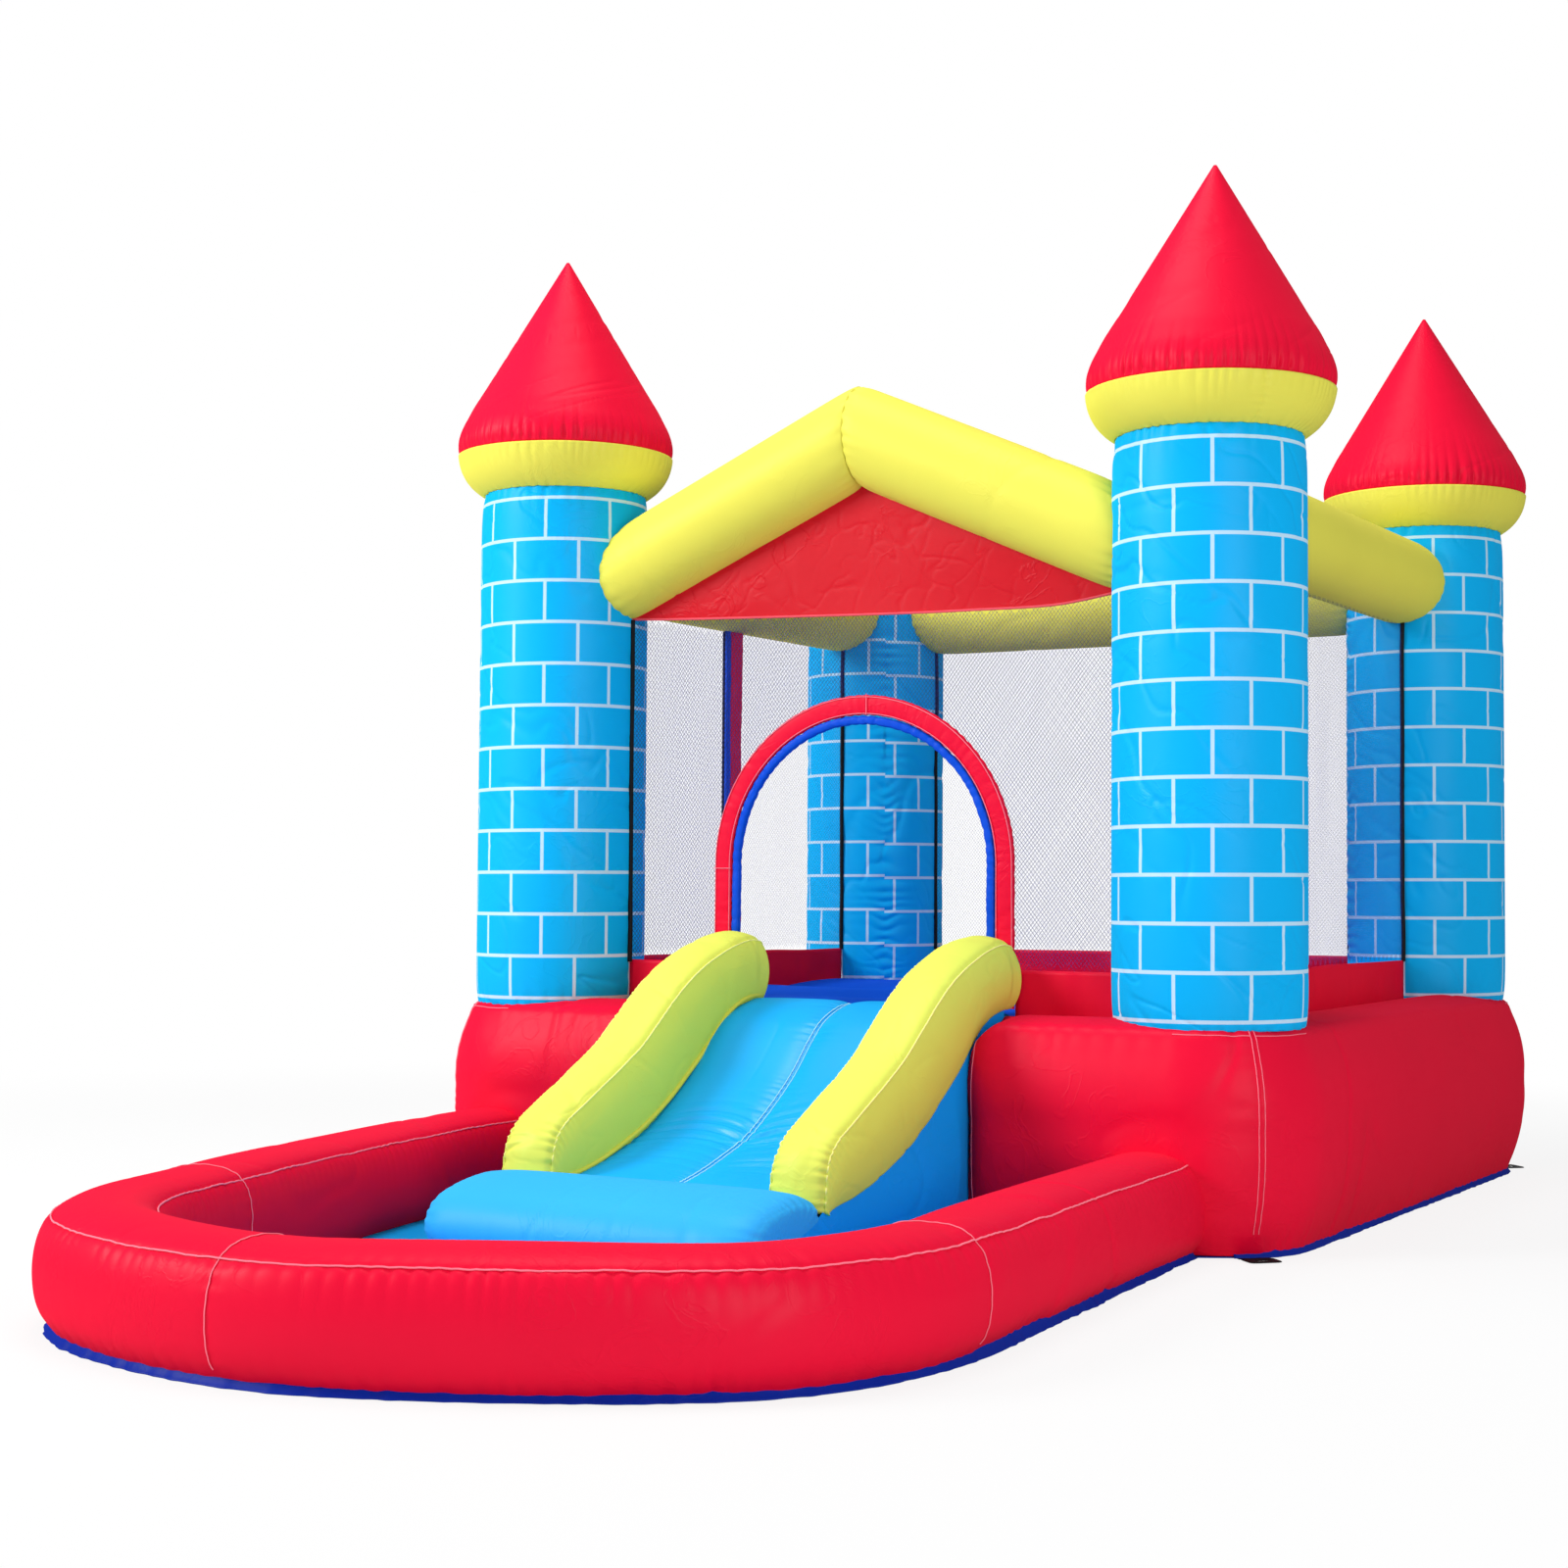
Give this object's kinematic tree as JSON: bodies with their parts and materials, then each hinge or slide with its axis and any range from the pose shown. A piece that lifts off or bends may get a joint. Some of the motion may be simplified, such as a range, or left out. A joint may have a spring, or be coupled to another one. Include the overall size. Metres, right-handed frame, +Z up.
{
  "type": "inflatable bounce house",
  "caption": "Inflatable bounce house with brick-print corner towers, cone roofs, gabled front, arched net doorway, slide and walled splash pool.",
  "frame": {"origin": "middle of the footprint, on the ground", "axes": "+Z up, -Y towards the slide and pool, +X to the right seen from the front"},
  "size_m": [2.152, 4.218, 2.2295],
  "materials": {
    "red": "coated oxford cloth",
    "yellow": "coated oxford cloth",
    "rail": "coated oxford cloth",
    "brick": "coated oxford cloth",
    "slide": "coated oxford cloth",
    "floor": "coated oxford cloth",
    "trim": "coated oxford cloth",
    "net": "knitted mesh",
    "webbing": "woven webbing"
  },
  "bodies": {
    "house": {"arch_piping": "trim", "arch_trim": "red", "back_net": "net", "base_wall_back": "red", "base_wall_front_left": "red", "base_wall_front_right": "red", "base_wall_left": "red", "base_wall_right": "red", "bounce_floor": "floor", "collar_back_left": "yellow", "collar_back_right": "yellow", "collar_front_left": "yellow", "collar_front_right": "yellow", "deflation_zip": "webbing", "floor_baffle_1": "floor", "floor_baffle_2": "floor", "front_net": "net", "gable_beam_left": "yellow", "gable_beam_right": "yellow", "gable_panel": "red", "ground_sheet": "trim", "inlet_sleeve": "red", "inlet_strap": "webbing", "left_net": "net", "pool_floor": "slide", "pool_rim_front_left": "red", "pool_rim_front_right": "red", "pool_rim_left": "red", "pool_rim_right": "red", "right_net": "net", "roof_back_left": "red", "roof_back_right": "red", "roof_beam_back": "yellow", "roof_beam_left": "yellow", "roof_beam_right": "yellow", "roof_front_left": "red", "roof_front_right": "red", "side_door_piping": "trim", "side_door_post": "red", "skirt_back": "red", "skirt_front_left": "red", "skirt_front_right": "red", "skirt_left": "red", "skirt_right": "red", "slide_rail_left": "rail", "slide_rail_right": "rail", "slide_ramp": "slide", "slide_side_left": "slide", "slide_side_right": "slide", "slide_toe": "slide", "tower_back_left": "brick", "tower_back_right": "brick", "tower_front_left": "brick", "tower_front_right": "brick"},
    "side_door": {"side_door_net": "net"},
    "zip_pull": {"zip_slider": "webbing"},
    "tab_front_left": {"anchor_tab_front_left": "webbing"},
    "tab_front_right": {"anchor_tab_front_right": "webbing"},
    "tab_back_left": {"anchor_tab_back_left": "webbing"},
    "tab_back_right": {"anchor_tab_back_right": "webbing"}
  },
  "joints": [
    {"name": "side_door_swing", "type": "hinge", "parent": "house", "child": "side_door", "pos_m": [-0.82, 0.24428, 0.97], "axis": [0, 0, 1], "range_deg": [0, 90]},
    {"name": "zip_travel", "type": "slide", "parent": "house", "child": "zip_pull", "axis": [1, 0, 0], "range_m": [0, 0.268]},
    {"name": "tab_front_left_lift", "type": "hinge", "parent": "house", "child": "tab_front_left", "pos_m": [-0.96953, -0.10755, 0.0025], "axis": [-0.7071, 0.7071, 0], "range_deg": [0, 70]},
    {"name": "tab_front_right_lift", "type": "hinge", "parent": "house", "child": "tab_front_right", "pos_m": [0.96953, -0.10755, 0.0025], "axis": [-0.7071, -0.7071, 0], "range_deg": [0, 70]},
    {"name": "tab_back_left_lift", "type": "hinge", "parent": "house", "child": "tab_back_left", "pos_m": [-0.96953, 1.77352, 0.0025], "axis": [0.7071, 0.7071, 0], "range_deg": [0, 70]},
    {"name": "tab_back_right_lift", "type": "hinge", "parent": "house", "child": "tab_back_right", "pos_m": [0.96953, 1.77352, 0.0025], "axis": [0.7071, -0.7071, 0], "range_deg": [0, 70]}
  ]
}
